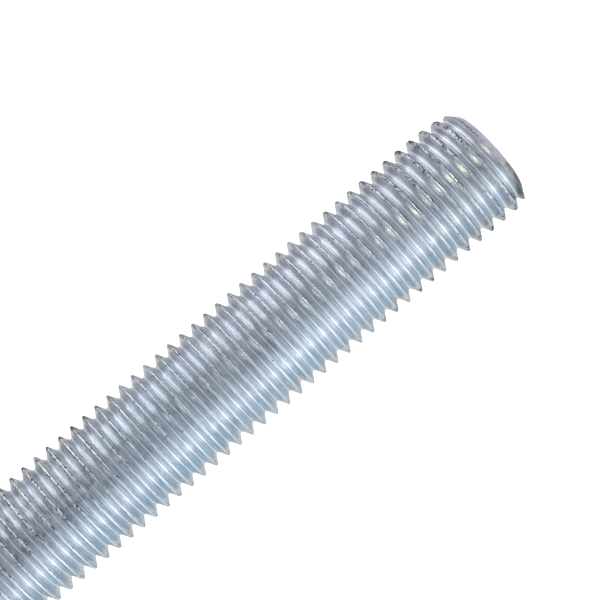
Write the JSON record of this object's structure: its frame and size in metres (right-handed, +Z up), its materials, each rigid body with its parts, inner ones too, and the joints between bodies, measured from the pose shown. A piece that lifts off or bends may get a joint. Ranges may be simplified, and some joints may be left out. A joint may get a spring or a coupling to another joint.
{
  "type": "threaded rod",
  "caption": "Straight zinc plated steel rod with a right-hand metric thread along its whole length and a chamfer at each cut end.",
  "frame": {"origin": "on the rod's axis, midway between its two cut ends", "axes": "+X along the rod towards the end that was seen, +Z up, +Y to the back"},
  "size_m": [0.3, 0.0198, 0.0198],
  "materials": {
    "zinc_steel": "rolled thread, bright bluish zinc plate, satin with worn crests"
  },
  "bodies": {
    "root": {"threaded_rod": "zinc_steel"}
  },
  "joints": []
}
